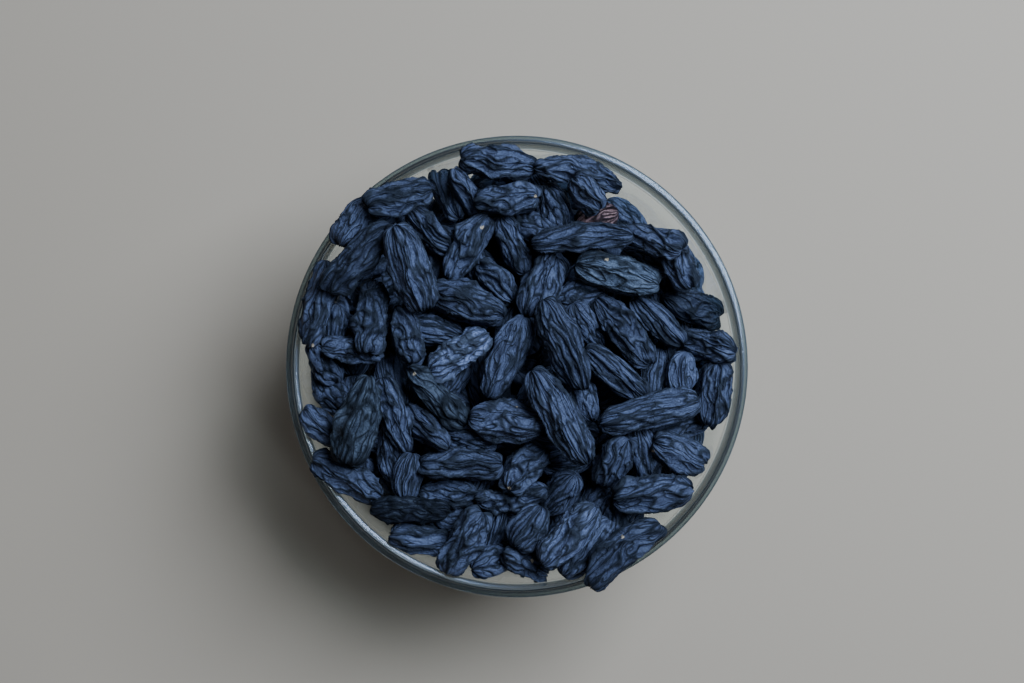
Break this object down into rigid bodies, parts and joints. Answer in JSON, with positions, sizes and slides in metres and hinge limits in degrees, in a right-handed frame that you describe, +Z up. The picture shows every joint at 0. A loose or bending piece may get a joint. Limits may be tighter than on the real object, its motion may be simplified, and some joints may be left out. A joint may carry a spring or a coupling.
{
  "type": "bowl of raisins",
  "caption": "Small round glass bowl heaped with long, deeply wrinkled black raisins that rise above its rim.",
  "frame": {"origin": "on the surface that the bowl stands on, under the middle of its foot", "axes": "+Z up along the bowl's axis; +Y towards the top of the picture, +X to its right"},
  "size_m": [0.1198, 0.1198, 0.069],
  "materials": {
    "glass": "clear, polished, faintly green at the rim",
    "raisin_skin": "dried fruit skin, blue-black, satin on the ridges, matt in the folds"
  },
  "bodies": {
    "root": {"glass_bowl": "glass", "raisin_filling": "raisin_skin", "crown_raisin_01": "raisin_skin", "crown_raisin_02": "raisin_skin", "crown_raisin_03": "raisin_skin", "crown_raisin_04": "raisin_skin", "crown_raisin_05": "raisin_skin", "crown_raisin_06": "raisin_skin", "crown_raisin_07": "raisin_skin", "crown_raisin_08": "raisin_skin", "crown_raisin_09": "raisin_skin", "crown_raisin_10": "raisin_skin", "crown_raisin_11": "raisin_skin", "crown_raisin_12": "raisin_skin", "crown_raisin_13": "raisin_skin", "crown_raisin_14": "raisin_skin", "crown_raisin_15": "raisin_skin", "crown_raisin_16": "raisin_skin", "crown_raisin_17": "raisin_skin", "crown_raisin_18": "raisin_skin", "crown_raisin_19": "raisin_skin", "crown_raisin_20": "raisin_skin", "crown_raisin_21": "raisin_skin", "crown_raisin_22": "raisin_skin", "crown_raisin_23": "raisin_skin", "crown_raisin_24": "raisin_skin", "crown_raisin_25": "raisin_skin", "crown_raisin_26": "raisin_skin", "crown_raisin_27": "raisin_skin", "crown_raisin_28": "raisin_skin", "crown_raisin_29": "raisin_skin", "crown_raisin_30": "raisin_skin", "crown_raisin_31": "raisin_skin", "crown_raisin_32": "raisin_skin", "crown_raisin_33": "raisin_skin", "crown_raisin_34": "raisin_skin", "crown_raisin_35": "raisin_skin", "crown_raisin_36": "raisin_skin", "crown_raisin_37": "raisin_skin", "crown_raisin_38": "raisin_skin", "crown_raisin_39": "raisin_skin", "crown_raisin_40": "raisin_skin", "crown_raisin_41": "raisin_skin", "crown_raisin_42": "raisin_skin", "crown_raisin_43": "raisin_skin", "crown_raisin_44": "raisin_skin", "crown_raisin_45": "raisin_skin", "crown_raisin_46": "raisin_skin", "crown_raisin_47": "raisin_skin", "crown_raisin_48": "raisin_skin", "crown_raisin_49": "raisin_skin", "crown_raisin_50": "raisin_skin", "crown_raisin_51": "raisin_skin", "crown_raisin_52": "raisin_skin", "crown_raisin_53": "raisin_skin", "crown_raisin_54": "raisin_skin", "crown_raisin_55": "raisin_skin", "crown_raisin_56": "raisin_skin", "crown_raisin_57": "raisin_skin", "crown_raisin_58": "raisin_skin"}
  },
  "joints": []
}
